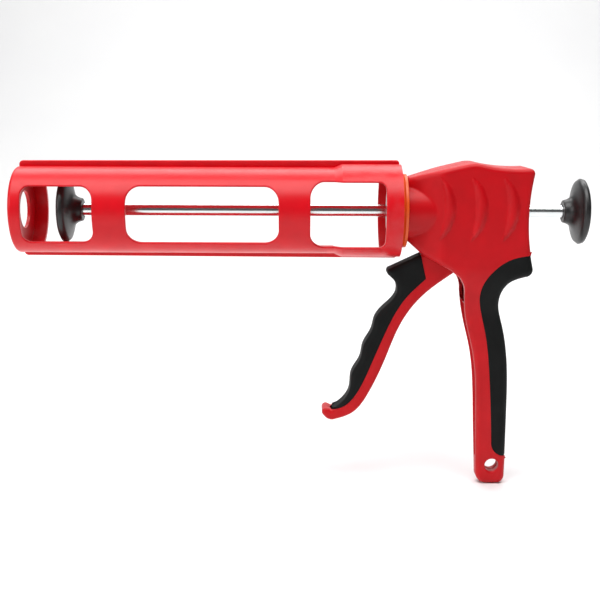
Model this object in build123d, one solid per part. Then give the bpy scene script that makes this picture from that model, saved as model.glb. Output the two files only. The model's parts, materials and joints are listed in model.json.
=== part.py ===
from build123d import *
import math
import os

# A caulking gun for 310 ml cartridges: a half-open moulded cradle that turns on the nose of a
# two-shell body, a round push rod with a disc at each end, and a trigger that grips and drives the rod.
#
# Frame: millimetres. The origin is the centre of the nozzle hole, on the inner face of the cradle's
# front wall, where the cartridge's shoulder seats. +X runs back along the push rod to the thumb disc,
# +Z is up, and the side with the cradle's three windows faces -Y.

# ---- push rod and its discs
ROD_R = 4.0
ROD_FRONT = 28.0
ROD_REAR = 356.0
DISC_R = 21.0
DISC_LENGTH = 13.5
PLUNGER_FACE = 24.0
THUMB_FACE = 360.0
SCREW_R = 2.0
RUN_GAP = 0.05

# ---- cradle
RIM_X = -4.4
WALL_T = 2.0
NOZZLE_R = 12.0
SHELL_R = 27.6
SHELL_T = 2.4
REAR_SHELL_R = 29.7
STEP_FRONT = 199.0
STEP_REAR = 204.0
RING_REAR = 8.4
CUT_Y = 7.0
RAIL_T = 3.0
RAIL_Z_FRONT = 31.0
RAIL_Z_REAR = 31.9
CRADLE_REAR = 241.6
REAR_WALL_T = 2.8
REAR_RING = 12.0
CRADLE_TURN = 3.0
EDGE_R = 0.7
WINDOWS = (
    # front x, rear x, half height, front corner radius, rear corner radius
    (3.4, 48.0, 17.4, 5.0, 8.0),
    (68.8, 164.0, 17.6, 9.0, 9.0),
    (183.8, 230.9, 20.4, 9.0, 4.0),
)

# ---- neck and swivel
NECK_R = 10.0
NECK_FRONT = 233.3
NECK_REAR = 252.0
NECK_GUIDE_REAR = 236.0
NECK_FLANGE = (247.5, 250.0, 14.0)
SPRING_POCKET_R = 7.6
SWIVEL_R = 23.7
SWIVEL_REAR = 245.4

# ---- body
NOSE_X = 246.0
SIDE_Y = 18.2
WALL = 2.5
BOSS_R = 18.0
BOSS_REAR = 268.0
RIB_HEIGHT = 0.9
RIB_X = (264.8, 284.9, 304.9)
RIB_TOP = 22.7
RIB_FOOT = -17.2
RIB_BULGE = 10.4
RIB_WIDTH = 5.0
HANG_X, HANG_Z, HANG_R = 306.7, -170.6, 4.6
SCREW_SPOTS = (
    (259.5, 19.5), (290.0, 23.5), (316.4, 21.0), (306.0, -22.0), (292.0, -75.0), (300.0, -145.0),
)
BOSS_SCREW_R = 3.6
HEAD_R = 3.0
HEAD_DEPTH = 2.6

# ---- trigger and drive
PIVOT_X, PIVOT_Z = 278.0, -22.0
PIN_R = 3.0
HUB_R = 8.0
HUB_Y = 9.3
TRIGGER_Y = 8.0
CORE_Y = 4.5
FORK_GAP_Y = 6.3
ROLLER_X, ROLLER_R = 272.3, 3.5
ROLLER_PIN_R = 1.5
ROLLER_Y = (9.6, 12.0)
FORK_TIP_R = 3.0
PLATE_T = 2.5
PLATE_FRONT = 263.5
PLATE_Y = 12.0
PLATE_HEIGHT = 21.0
PLATE_LIFT = 1.5
WIRE_R = 0.65
SPRING_R = 6.6
SPRING_TURNS = 8
GRIP_SKIN = 2.0
BUSH_R = 9.0
BUSH_FRONT = 309.4
BUSH_REAR = 320.6
BULKHEAD = (311.9, 314.9)


def along_x(radius, x0, x1):
    """A cylinder on the rod's axis from x0 to x1."""
    return extrude(Plane.YZ.offset(x0) * Circle(radius), amount=x1 - x0)


def slab(face, y0, y1):
    """A side-view outline, drawn in x and z, made solid between y0 and y1."""
    return extrude(Plane.XZ.offset(-y1) * face, amount=y1 - y0)


def across(x, z, radius, y0, y1):
    """A cylinder parallel to Y."""
    return slab(Pos(x, z) * Circle(radius), y0, y1)


def closed(*edges):
    """A face inside a closed run of edges."""
    return make_face(Curve() + list(edges))


def window(x0, x1, half_z, front_r, rear_r):
    """The side-view outline of one cradle window."""
    width = x1 - x0
    outline = Pos((x0 + x1) / 2, 0) * Rectangle(width, 2 * half_z)
    ends = outline.vertices().group_by(Axis.X)
    outline = fillet(ends[0], front_r)
    return fillet(outline.vertices().group_by(Axis.X)[-1], rear_r)


def cradle():
    """Half shell with a full ring and wall at each end, two stiffening rails and three windows."""
    wall_front = -WALL_T
    outer = closed(Polyline(
        (RIM_X, 0), (RIM_X, SHELL_R), (STEP_FRONT, SHELL_R), (STEP_REAR, REAR_SHELL_R),
        (CRADLE_REAR, REAR_SHELL_R), (CRADLE_REAR, 0), (RIM_X, 0)))
    inner_r = SHELL_R - SHELL_T
    rear_inner_r = REAR_SHELL_R - SHELL_T
    bay = closed(Polyline(
        (0, 0), (0, inner_r), (STEP_FRONT, inner_r), (STEP_REAR, rear_inner_r),
        (CRADLE_REAR - REAR_WALL_T, rear_inner_r), (CRADLE_REAR - REAR_WALL_T, 0), (0, 0)))
    body = revolve(outer, axis=Axis.X)
    rim_edges = body.edges().filter_by(GeomType.CIRCLE).group_by(Axis.X)[0]
    body = fillet(rim_edges, 2.2)
    body -= along_x(inner_r - 0.4, RIM_X - 1, wall_front)
    rail = closed(Polyline(
        (RIM_X + 4, 0), (RIM_X + 1, RAIL_Z_FRONT - 3), (RIM_X + 1, RAIL_Z_FRONT),
        (CRADLE_REAR - 0.6, RAIL_Z_REAR), (CRADLE_REAR - 0.6, 0), (RIM_X + 4, 0)))
    corners = rail.vertices().sort_by(Axis.Y)[-2:].sort_by(Axis.X)
    rail = fillet(corners[0], 2.6)
    rail = fillet(rail.vertices().sort_by(Axis.Y)[-1], 2.0)
    rail_bar = slab(rail, CUT_Y - RAIL_T, CUT_Y)
    long_edges = rail_bar.edges().filter_by(lambda edge: edge.length > 200 and edge.center().Z > 1)
    rail_bar = fillet(long_edges, EDGE_R)
    body += rail_bar + mirror(rail_bar, about=Plane.XY)
    body -= revolve(bay, axis=Axis.X)
    open_length = CRADLE_REAR - REAR_RING - RING_REAR
    body -= Pos(RING_REAR + open_length / 2, CUT_Y + 50, 0) * Box(open_length, 100, 100)
    body -= along_x(NOZZLE_R, RIM_X - 1, 1)
    body -= along_x(NECK_R + 2 * RUN_GAP, CRADLE_REAR - 10, CRADLE_REAR + 1)
    for spec in WINDOWS:
        body -= slab(window(*spec), -40, 0)
        body = fillet(window_rim(body, spec[0], spec[1]), EDGE_R)
    return Rot(X=CRADLE_TURN) * body


def off_axis(point):
    """A point's distance from the rod's axis."""
    return math.hypot(point.Y, point.Z)


def window_rim(body, x0, x1):
    """The edges of one window on the outside of the shell."""
    def on_skin(point):
        return min(abs(off_axis(point) - SHELL_R), abs(off_axis(point) - REAR_SHELL_R)) < 0.05

    rim = []
    for edge in body.edges():
        middle = edge.position_at(0.5)
        outside = on_skin(edge.position_at(0)) and on_skin(edge.position_at(1))
        in_span = x0 - 0.1 <= middle.X <= x1 + 0.1
        if outside and in_span and middle.Y < -SHELL_R / 2 and off_axis(middle) > SHELL_R - 1:
            rim.append(edge)
    return rim


def body_outline():
    """The body and handle seen from the side, without the trigger's slot."""
    return closed(
        ThreePointArc((NOSE_X, 21.8), (264.5, 26.8), (281.8, 30.9)),
        ThreePointArc((281.8, 30.9), (286.6, 31.5), (291.0, 30.8)),
        ThreePointArc((291.0, 30.8), (306.0, 28.5), (320.9, 28.3)),
        ThreePointArc((320.9, 28.3), (323.6, 27.2), (324.4, 24.4)),
        ThreePointArc((324.4, 24.4), (321.9, 0.0), (325.9, -34.8)),
        ThreePointArc((325.9, -34.8), (325.0, -39.0), (321.5, -40.8)),
        Spline((321.5, -40.8), (311.2, -45.3), (306.2, -56.0), (308.9, -72.0), (313.2, -94.0),
               (314.9, -123.0), (315.7, -165.0)),
        Line((315.7, -165.0), (315.6, -178.5)),
        ThreePointArc((315.6, -178.5), (313.9, -182.1), (310.4, -183.5)),
        Line((310.4, -183.5), (302.6, -183.5)),
        ThreePointArc((302.6, -183.5), (298.3, -181.3), (296.3, -177.0)),
        Spline((296.3, -177.0), (294.4, -132.0), (290.5, -91.0), (284.6, -66.0), (283.2, -53.0)),
        ThreePointArc((283.2, -53.0), (282.3, -46.2), (279.3, -41.3)),
        Line((279.3, -41.3), (273.7, -36.6)),
        Line((273.7, -36.6), (255.8, -27.1)),
        Line((255.8, -27.1), (NOSE_X, -18.6)),
        Line((NOSE_X, -18.6), (NOSE_X, 21.8)),
    )


def plan_prism(inset):
    """The body's width seen from above: narrow at the nose, full behind it."""
    nose_y, full_y = 8.6 - inset, SIDE_Y - inset
    edge = Spline((NOSE_X - 1, nose_y), (256.0, nose_y + 5.8), (268.0, full_y - 0.4), (278.0, full_y),
                  tangents=((1, 0.7), (1, 0)))
    half = closed(edge, Polyline((278.0, full_y), (335.0, full_y), (335.0, 0), (NOSE_X - 1, 0),
                                 (NOSE_X - 1, nose_y)))
    return extrude(Plane.XY.offset(-190) * (half + mirror(half, about=Plane.XZ)), amount=230)


def thickness_prism(heights):
    """The body's thickness at each height, from a run of (z, half thickness)."""
    right = [(half, z) for z, half in heights]
    left = [(-half, z) for z, half in reversed(heights)]
    face = make_face(Polyline(*right, *left, right[0]))
    return extrude(Plane.YZ.offset(240) * face, amount=100)


OUTER_HEIGHTS = ((40, SIDE_Y), (-40, SIDE_Y), (-66, 11.0), (-120, 9.5), (-172, 5.75), (-190, 5.75))
INNER_HEIGHTS = ((40, SIDE_Y - WALL), (-40, SIDE_Y - WALL), (-58, 9.0), (-72, 6.0), (-130, 4.9))
CORE_HEIGHTS = tuple((z, half - GRIP_SKIN) for z, half in OUTER_HEIGHTS)


def body_outer():
    """The whole outside of the closed body, nose boss included."""
    solid = slab(body_outline(), -30, 30) & plan_prism(0) & thickness_prism(OUTER_HEIGHTS)
    return solid + along_x(BOSS_R, NOSE_X, BOSS_REAR)


def grip_outline():
    """The soft grip's field on the side of the handle."""
    return closed(
        Spline((335.0, -25.6), (316.3, -27.6), (308.3, -30.6), (300.4, -36.8), (294.9, -44.6),
               (292.9, -54.5), (294.4, -63.9), (298.3, -80.0), (301.3, -100.5), (303.3, -122.5),
               (305.5, -153.1)),
        ThreePointArc((305.5, -153.1), (308.2, -160.9), (316.8, -164.0)),
        Polyline((316.8, -164.0), (335.0, -164.0), (335.0, -25.6)),
    )


def core_outline():
    """What lies inside the soft grip: the handle's back edge set in by the grip's skin."""
    return closed(
        Polyline((240.0, -10.0), (320.4, -10.0), (321.6, -24.0)),
        Spline((321.6, -24.0), (322.8, -34.4), (310.0, -43.2), (304.1, -56.0), (306.8, -72.4),
               (311.1, -94.4), (312.8, -123.4), (313.6, -162.0)),
        Polyline((313.6, -162.0), (240.0, -162.0), (240.0, -10.0)),
    )


def cavity_outline():
    """The hollow for the drive and, in the handle, for the trigger's back."""
    return closed(
        ThreePointArc((253.0, 20.8), (266.0, 24.6), (282.2, 28.3)),
        ThreePointArc((282.2, 28.3), (286.5, 28.9), (290.4, 28.3)),
        ThreePointArc((290.4, 28.3), (305.8, 26.0), (321.2, 25.6)),
        ThreePointArc((321.2, 25.6), (319.3, 0.0), (321.2, -24.0)),
        Spline((321.2, -24.0), (317.6, -34.4), (306.6, -41.0), (301.5, -56.0), (304.2, -72.4),
               (308.5, -94.4), (310.2, -129.0)),
        Line((310.2, -129.0), (297.0, -129.0)),
        Spline((297.0, -129.0), (293.2, -91.0), (287.2, -66.0), (285.7, -53.0)),
        Polyline((285.7, -53.0), (281.0, -38.5), (274.2, -33.8), (257.0, -24.6), (253.0, -21.0),
                 (253.0, 20.8)),
    )


def rib(x):
    """One crescent on the side of the body, its bulge to the rear."""
    middle_z = (RIB_TOP + RIB_FOOT) / 2
    top, foot = (x, RIB_TOP), (x + 1.0, RIB_FOOT)
    return closed(
        ThreePointArc(top, (x + RIB_BULGE, middle_z), foot),
        ThreePointArc(foot, (x + RIB_BULGE - RIB_WIDTH, middle_z), top),
    )


def body_parts():
    """The two shells and the soft grip, cut from one outside."""
    outer = body_outer()
    field = slab(grip_outline(), -30, 30)
    core = slab(core_outline(), -30, 30) & thickness_prism(CORE_HEIGHTS)
    grip = (outer & field) - core
    shells = outer - grip
    cavity = slab(cavity_outline(), -30, 30) & plan_prism(WALL) & thickness_prism(INNER_HEIGHTS)
    cavity -= Pos(sum(BULKHEAD) / 2, 0, 10) * Box(BULKHEAD[1] - BULKHEAD[0], 60, 60)
    shells -= cavity
    slot = closed(Polyline((253.5, -18.0), (250.5, -30.0), (272.0, -45.0), (284.0, -58.0), (287.0, -40.0),
                           (276.0, -24.0), (253.5, -18.0)))
    shells -= slab(slot, -HUB_Y - 0.7, HUB_Y + 0.7)
    for x in RIB_X:
        shells += slab(rib(x), -SIDE_Y - RIB_HEIGHT, -SIDE_Y + 1)
        shells += slab(rib(x), SIDE_Y - 1, SIDE_Y + RIB_HEIGHT)
    plate_room = Pos(0, PLATE_LIFT) * RectangleRounded(2 * PLATE_Y + 0.6, PLATE_HEIGHT + 0.6, 3.3)
    shells -= extrude(Plane.YZ.offset(NECK_REAR + 0.6) * plate_room, amount=14)
    for side in (-1, 1):
        inner, outside = sorted((side * (HUB_Y + 0.4), side * (SIDE_Y - 1)))
        shells += across(PIVOT_X, PIVOT_Z, 6.0, inner, outside)
    shells -= across(PIVOT_X, PIVOT_Z, PIN_R, -15.0, 15.0)
    shells -= neck_tube() + along_x(NECK_R, NOSE_X - 1, NECK_REAR)
    shells -= along_x(ROD_R + 0.5, 250, 340) + along_x(SPRING_POCKET_R, NECK_REAR - 1, NECK_REAR + 3)
    shells -= rear_bush_blank()
    shells -= across(HANG_X, HANG_Z, HANG_R, -20, 20)
    left = shells & Pos(290, -50, -70) * Box(200, 100, 300)
    right = shells & Pos(290, 50, -70) * Box(200, 100, 300)
    for x, z in SCREW_SPOTS:
        reach = side_at(z)
        left += across(x, z, BOSS_SCREW_R, -reach + 1, 0)
        right += across(x, z, BOSS_SCREW_R, 0, reach - 1)
    for x, z in SCREW_SPOTS:
        left -= screw(x, z)
        right -= screw(x, z)
        right -= across(x, z, HEAD_R + 0.3, side_at(z) - HEAD_DEPTH - 1, 30)
    return left, right, grip


def side_at(z):
    """Half the body's thickness at a height."""
    for (z_high, half_high), (z_low, half_low) in zip(OUTER_HEIGHTS, OUTER_HEIGHTS[1:]):
        if z_low <= z <= z_high:
            share = (z_high - z) / (z_high - z_low)
            return half_high + share * (half_low - half_high)
    return SIDE_Y


def screw(x, z):
    """A countersunk self-tapping screw from the far side, its tip in the near shell."""
    head_face = side_at(z) - 1.0
    tip = -min(side_at(z) - 4.0, 8.0)
    solid = across(x, z, HEAD_R, head_face - HEAD_DEPTH, head_face)
    solid += across(x, z, SCREW_R * 0.75, tip, head_face)
    cross = Pos(x, z) * (Rectangle(3.4, 0.9) + Rectangle(0.9, 3.4))
    return solid - slab(cross, head_face - 1.5, head_face + 1)


def neck_tube():
    """The flanged tube that carries the cradle and guides the rod's front."""
    front, rear, radius = NECK_FLANGE
    tube = along_x(NECK_R, NECK_FRONT, NECK_REAR) + along_x(radius, front, rear)
    tube -= along_x(ROD_R + RUN_GAP, NECK_FRONT - 1, NECK_REAR + 1)
    return tube - along_x(SPRING_POCKET_R, NECK_GUIDE_REAR, NECK_REAR + 1)


def neck_nut():
    """Hexagon nut on the front of the neck tube."""
    hexagon = RegularPolygon(14.0, 6)
    nut = extrude(Plane.YZ.offset(NECK_FRONT + 0.2) * hexagon, amount=3.7)
    return nut - along_x(NECK_R, 228, 240)


def ring(x0, x1, r_out, r_in):
    """A flat ring on the rod's axis."""
    return along_x(r_out, x0, x1) - along_x(r_in, x0 - 1, x1 + 1)


def rear_bush_blank():
    """The rear bush without its bores."""
    return along_x(BUSH_R, BUSH_FRONT, BUSH_REAR) + along_x(BUSH_R + 2.5, BUSH_FRONT, BUSH_FRONT + 2.5)


def rear_bush():
    """Rear rod guide with a groove for the brake ring."""
    bush = rear_bush_blank() - along_x(ROD_R + RUN_GAP, BUSH_FRONT - 1, BUSH_REAR + 1)
    return bush - along_x(6.5, BUSH_FRONT + 5, BUSH_FRONT + 8)


def disc(face_x, toward):
    """A funnel-shaped disc; toward is +1 when its hub lies on the +X side of its face."""
    def at(depth, radius):
        return (face_x + toward * depth, radius)
    edges = [
        Line(at(0, 0), at(0, DISC_R - 2.2)),
        ThreePointArc(at(0, DISC_R - 2.2), at(0.9, DISC_R - 0.5), at(2.8, DISC_R)),
        ThreePointArc(at(2.8, DISC_R), at(4.2, DISC_R - 0.9), at(5.2, DISC_R - 3.4)),
        Spline(at(5.2, DISC_R - 3.4), at(6.4, 13.6), at(8.2, 9.8), at(10.6, 8.0), at(DISC_LENGTH, 6.6)),
        Line(at(DISC_LENGTH, 6.6), at(DISC_LENGTH, 0)),
        Line(at(DISC_LENGTH, 0), at(0, 0)),
    ]
    solid = revolve(closed(*edges), axis=Axis.X)
    low, high = sorted((face_x + toward * 4.0, face_x + toward * (DISC_LENGTH + 1)))
    solid -= along_x(ROD_R, low, high)
    low, high = sorted((face_x - toward, face_x + toward * 2.2))
    solid -= along_x(7.0, low, high)
    low, high = sorted((face_x - toward, face_x + toward * 5.0))
    return solid - along_x(SCREW_R, low, high)


def disc_screw(face_x, toward):
    """Pan-head screw through the disc into the end of the rod."""
    low, high = sorted((face_x + toward * 0.4, face_x + toward * 1.6))
    head = along_x(4.2, low, high)
    low, high = sorted((face_x + toward * 0.4, face_x + toward * 12.0))
    shank = along_x(SCREW_R, low, high)
    low, high = sorted((face_x, face_x + toward * 1.2))
    cross = Rectangle(4.2, 0.9) + Rectangle(0.9, 4.2)
    return head + shank - extrude(Plane.YZ.offset(low) * cross, amount=high - low)


def disc_washer(face_x, toward):
    """Flat washer under the disc screw."""
    low, high = sorted((face_x + toward * 1.6, face_x + toward * 2.2))
    return ring(low, high, 5.6, SCREW_R)


def push_rod():
    """Plain round rod with a screw hole in each end."""
    rod = along_x(ROD_R, ROD_FRONT, ROD_REAR)
    rod = chamfer(rod.edges().filter_by(GeomType.CIRCLE), 0.4)
    rod -= along_x(SCREW_R, ROD_FRONT - 1, PLUNGER_FACE + 12.0)
    return rod - along_x(SCREW_R, THUMB_FACE - 12.0, ROD_REAR + 1)


def trigger_outline():
    """Grip and lever of the trigger below the body, seen from the side."""
    return closed(
        Line((262.0, -24.5), (236.2, -36.6)),
        ThreePointArc((236.2, -36.6), (234.0, -38.4), (234.4, -40.9)),
        Spline((234.4, -40.9), (240.0, -47.5), (240.2, -52.5), (233.4, -61.5), (226.4, -70.5),
               (224.6, -77.8), (219.0, -88.5), (217.2, -97.0), (211.6, -107.5), (210.3, -118.5),
               (205.6, -126.5), (196.4, -130.9)),
        ThreePointArc((196.4, -130.9), (192.4, -132.4), (193.4, -135.4)),
        ThreePointArc((193.4, -135.4), (196.0, -137.8), (199.4, -138.6)),
        Spline((199.4, -138.6), (212.6, -133.6), (223.1, -120.0), (234.0, -95.9), (243.2, -73.4),
               (256.6, -55.0), (275.8, -40.0)),
        Polyline((275.8, -40.0), (284.0, -33.0), (272.0, -18.0), (262.0, -24.5)),
    )


def trigger_field():
    """Where the soft grip covers the trigger."""
    return closed(
        Spline((255.0, -26.0), (258.8, -37.0), (258.6, -42.8), (248.0, -54.5), (237.4, -71.0),
               (228.6, -92.6), (218.4, -116.5), (208.4, -129.3), (198.6, -131.8)),
        Polyline((198.6, -131.8), (190.0, -120.0), (225.0, -20.0), (255.0, -26.0)),
    )


def trigger_core():
    """The lever's web inside the soft grip, about 3 mm behind the finger waves."""
    return closed(
        Polyline((268.0, -30.0), (258.0, -30.5), (240.0, -38.4), (239.0, -41.0)),
        Spline((239.0, -41.0), (243.6, -48.0), (243.4, -54.0), (237.0, -62.5), (230.0, -71.5),
               (228.0, -79.0), (222.6, -89.5), (220.6, -98.0), (215.2, -109.0), (213.6, -118.5),
               (208.6, -127.2)),
        Polyline((208.6, -127.2), (214.5, -127.5), (230.0, -96.0), (241.0, -71.0), (253.0, -54.0),
                 (268.0, -40.0), (268.0, -30.0)),
    )


def trigger_parts():
    """The lever with its hub and fork, and the soft grip moulded on its front."""
    blade = slab(trigger_outline(), -TRIGGER_Y, TRIGGER_Y)
    field = slab(trigger_field(), -TRIGGER_Y - 1, TRIGGER_Y + 1)
    core = slab(trigger_core(), -CORE_Y, CORE_Y)
    grip = (blade & field) - core
    lever = blade - grip
    fork = closed(
        ThreePointArc((ROLLER_X - FORK_TIP_R, 0), (ROLLER_X, FORK_TIP_R), (ROLLER_X + FORK_TIP_R, 0)),
        Polyline((ROLLER_X + FORK_TIP_R, 0), (PIVOT_X + 7.0, PIVOT_Z), (PIVOT_X - 7.0, PIVOT_Z),
                 (ROLLER_X - FORK_TIP_R, 0)),
    )
    lever += across(PIVOT_X, PIVOT_Z, HUB_R, -HUB_Y, HUB_Y)
    for side in (-1, 1):
        inner, outside = sorted((side * FORK_GAP_Y, side * HUB_Y))
        lever += slab(fork, inner, outside)
    lever -= across(PIVOT_X, PIVOT_Z, PIN_R + RUN_GAP, -20, 20)
    lever -= across(ROLLER_X, 0, ROLLER_PIN_R, -20, 20)
    return lever, grip


def coil_spring(x0, x1):
    """The drive return spring, with its axis on the rod."""
    height = x1 - x0 - 2 * WIRE_R
    path = Helix(pitch=height / SPRING_TURNS, height=height, radius=SPRING_R)
    start = Plane(origin=path @ 0, z_dir=path % 0)
    wire = sweep(start * Circle(WIRE_R), path=path, is_frenet=True)
    return Plane.YZ.offset(x0 + WIRE_R) * wire


def drive_plate(x0):
    """One hardened grip plate with the rod's hole."""
    outline = Pos(0, PLATE_LIFT) * RectangleRounded(2 * PLATE_Y, PLATE_HEIGHT, 3.0)
    plate = extrude(Plane.YZ.offset(x0) * outline, amount=PLATE_T)
    return plate - along_x(ROD_R + 0.15, x0 - 1, x0 + PLATE_T + 1)


def build():
    """Every node by name."""
    left, right, body_grip = body_parts()
    lever, trigger_grip = trigger_parts()
    roller = across(ROLLER_X, 0, ROLLER_R, *ROLLER_Y) - across(ROLLER_X, 0, ROLLER_PIN_R, *ROLLER_Y)
    rollers = roller + mirror(roller, about=Plane.XZ)
    roller_pin = across(ROLLER_X, 0, ROLLER_PIN_R, FORK_GAP_Y, ROLLER_Y[1] + 0.8)
    washer = slab(Pos(PIVOT_X, PIVOT_Z) * (Circle(5.6) - Circle(PIN_R)), HUB_Y + 0.05, HUB_Y + 0.35)
    return {
        "cradle": cradle(),
        "swivel_ring": ring(CRADLE_REAR + 0.1, SWIVEL_REAR, SWIVEL_R, NECK_R),
        "neck_tube": neck_tube(),
        "neck_nut": neck_nut(),
        "neck_washer": ring(237.3, 238.7, 16.5, NECK_R),
        "body_shell_near": left,
        "body_shell_far": right,
        "handle_grip": body_grip,
        "body_screws": Compound(children=[screw(x, z) for x, z in SCREW_SPOTS]),
        "trigger_lever": lever,
        "trigger_grip": trigger_grip,
        "trigger_pin": across(PIVOT_X, PIVOT_Z, PIN_R, -15.0, 15.0),
        "trigger_washers": washer + mirror(washer, about=Plane.XZ),
        "fork_rollers": rollers,
        "roller_pins": roller_pin + mirror(roller_pin, about=Plane.XZ),
        "drive_plate_front": drive_plate(PLATE_FRONT),
        "drive_plate_rear": drive_plate(PLATE_FRONT + PLATE_T),
        "drive_spring": coil_spring(NECK_GUIDE_REAR, PLATE_FRONT),
        "rear_bush": rear_bush(),
        "brake_ring": ring(BUSH_FRONT + 5, BUSH_FRONT + 8, 6.5, ROD_R + RUN_GAP),
        "push_rod": push_rod(),
        "plunger_disc": disc(PLUNGER_FACE, 1),
        "plunger_screw": disc_screw(PLUNGER_FACE, 1),
        "plunger_washer": disc_washer(PLUNGER_FACE, 1),
        "thumb_disc": disc(THUMB_FACE, -1),
        "thumb_screw": disc_screw(THUMB_FACE, -1),
        "thumb_washer": disc_washer(THUMB_FACE, -1),
    }


os.makedirs("parts", exist_ok=True)
for name, solid in build().items():
    export_step(solid, f"parts/{name}.step")
    box = solid.bounding_box()
    print(f"{name}: {box.size.X:.1f} x {box.size.Y:.1f} x {box.size.Z:.1f} mm, {solid.volume:.0f} mm3")
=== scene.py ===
# %% [markdown]
# A caulking gun, drawn around its working model. The model already holds the sizes, the joints and
# the plain shapes; this script gives every visible surface its real form and finish. Lengths are in
# metres, +X runs back along the push rod, +Z is up, and the cradle's windows face -Y.

# %% Load the working model
import json
import math
import bmesh
import bpy
import numpy as np
from mathutils import Matrix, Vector
from mathutils.geometry import delaunay_2d_cdt


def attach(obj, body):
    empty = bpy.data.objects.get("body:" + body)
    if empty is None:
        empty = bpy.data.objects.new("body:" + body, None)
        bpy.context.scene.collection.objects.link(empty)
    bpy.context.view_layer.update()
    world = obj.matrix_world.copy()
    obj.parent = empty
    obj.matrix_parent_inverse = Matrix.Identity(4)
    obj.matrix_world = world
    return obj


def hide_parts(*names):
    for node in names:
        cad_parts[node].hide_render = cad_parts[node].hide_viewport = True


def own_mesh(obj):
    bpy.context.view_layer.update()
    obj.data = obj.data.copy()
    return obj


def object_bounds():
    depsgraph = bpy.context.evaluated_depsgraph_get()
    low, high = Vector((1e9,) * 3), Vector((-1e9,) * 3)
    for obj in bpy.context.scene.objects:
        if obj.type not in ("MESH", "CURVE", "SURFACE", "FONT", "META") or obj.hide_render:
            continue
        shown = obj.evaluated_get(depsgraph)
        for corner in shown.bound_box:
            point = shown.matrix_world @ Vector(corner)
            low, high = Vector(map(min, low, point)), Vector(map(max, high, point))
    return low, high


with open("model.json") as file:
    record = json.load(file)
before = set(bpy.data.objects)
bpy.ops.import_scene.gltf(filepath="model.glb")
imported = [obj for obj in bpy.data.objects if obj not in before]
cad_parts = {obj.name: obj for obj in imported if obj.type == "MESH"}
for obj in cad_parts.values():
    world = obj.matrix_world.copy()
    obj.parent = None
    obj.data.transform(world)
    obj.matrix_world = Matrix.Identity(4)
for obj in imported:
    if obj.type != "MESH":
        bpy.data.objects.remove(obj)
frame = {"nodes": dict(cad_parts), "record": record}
cad_low, cad_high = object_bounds()
MM = 0.001
print("working model, mm:", [round(v / MM, 1) for v in (*cad_low, *cad_high)])

# %% [markdown]
# The camera stands in front of the windows, a little above the tool and looking slightly down.
# A camera's matrix has three columns: its right, its up, and the direction opposite to its view.
# Working those three out from a pitch and a roll keeps the aim in two plain numbers.

# %% Camera
CAMERA_PLACE = (177.5 * MM, -651.0 * MM, 67.6 * MM)
CAMERA_PITCH = 0.192
CAMERA_ROLL = 0.004


def camera_axes(pitch, roll):
    """Right, up and back: a level look along +Y, turned down by pitch, then about itself by roll."""
    forward = np.array((0.0, math.cos(pitch), -math.sin(pitch)))
    level_right = np.array((1.0, 0.0, 0.0))
    level_up = np.cross(level_right, forward)
    right = level_right * math.cos(roll) + level_up * math.sin(roll)
    return right, np.cross(right, forward), -forward


camera_data = bpy.data.cameras.new("camera")
camera_data.lens = 60.6
camera_data.sensor_width = 36.0
camera_data.clip_start = 0.01
camera_data.clip_end = 50.0
camera = bpy.data.objects.new("camera", camera_data)
axes = np.eye(4)
axes[:3, :3] = np.array(camera_axes(CAMERA_PITCH, CAMERA_ROLL)).T
axes[:3, 3] = CAMERA_PLACE
camera.matrix_world = Matrix(axes.tolist())
bpy.context.scene.collection.objects.link(camera)
bpy.context.scene.camera = camera
bpy.context.scene.view_settings.view_transform = "Standard"
print("camera at", CAMERA_PLACE)

# %% [markdown]
# Everything new is a mesh put together from arrays. One small function takes the points and the
# faces, makes the object at the origin and shades it smooth, so that the shape cells hold geometry only.

# %% From arrays to a mesh
def mesh_piece(name, points, faces, smooth=True):
    """An object whose vertices are the rows of points, in metres, and whose polygons are faces. Points
    that coincide are welded, which also removes faces without area and keeps the normals true."""
    mesh = bpy.data.meshes.new(name)
    corners = [tuple(p) for p in np.asarray(points, float)]
    mesh.from_pydata(corners, [], [tuple(map(int, f)) for f in faces])
    mesh.validate()
    weld = bmesh.new()
    weld.from_mesh(mesh)
    bmesh.ops.remove_doubles(weld, verts=weld.verts, dist=0.002 * MM)
    weld.to_mesh(mesh)
    weld.free()
    mesh.polygons.foreach_set("use_smooth", np.full(len(mesh.polygons), smooth))
    mesh.update()
    piece = bpy.data.objects.new(name, mesh)
    bpy.context.scene.collection.objects.link(piece)
    return piece


def quad_strip(rows, columns, wrap):
    """Faces between consecutive rows of a grid of columns points a row; wrap joins last to first."""
    r, c = np.meshgrid(np.arange(rows - 1), np.arange(columns if wrap else columns - 1), indexing="ij")
    here, there = r * columns + c, r * columns + (c + 1) % columns
    return np.stack((here, there, there + columns, here + columns), axis=-1).reshape(-1, 4)


# %% [markdown]
# The tool stands on a plain pale surface that sweeps up behind it. A sweep has no corner, so there is
# no line behind the tool. It is one profile, flat then a quarter circle then upright, carried along X.
# It lies just under the foot of the handle, which is the lowest point.

# %% Floor and backdrop
SWEEP_HALF_WIDTH = 4.0
SWEEP_FRONT, SWEEP_BACK, SWEEP_RADIUS, SWEEP_TOP = -2.4, 1.6, 0.9, 4.0


def sweep():
    """A floor at the tool's lowest height, joined to a back wall by a quarter circle of SWEEP_RADIUS."""
    floor_z = cad_low.z - 0.2 * MM
    turn = np.linspace(0, math.pi / 2, 24)
    curve_y = SWEEP_BACK + SWEEP_RADIUS * np.sin(turn)
    curve_z = floor_z + SWEEP_RADIUS * (1 - np.cos(turn))
    y = np.concatenate(([SWEEP_FRONT], curve_y, [curve_y[-1]]))
    z = np.concatenate(([floor_z], curve_z, [SWEEP_TOP]))
    left = np.column_stack((np.full_like(y, -SWEEP_HALF_WIDTH), y, z))
    right = left * (-1, 1, 1)
    points = np.stack((left, right), axis=1).reshape(-1, 3)
    return mesh_piece("floor", points, quad_strip(len(y), 2, False)[:, ::-1])


floor = sweep()

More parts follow.
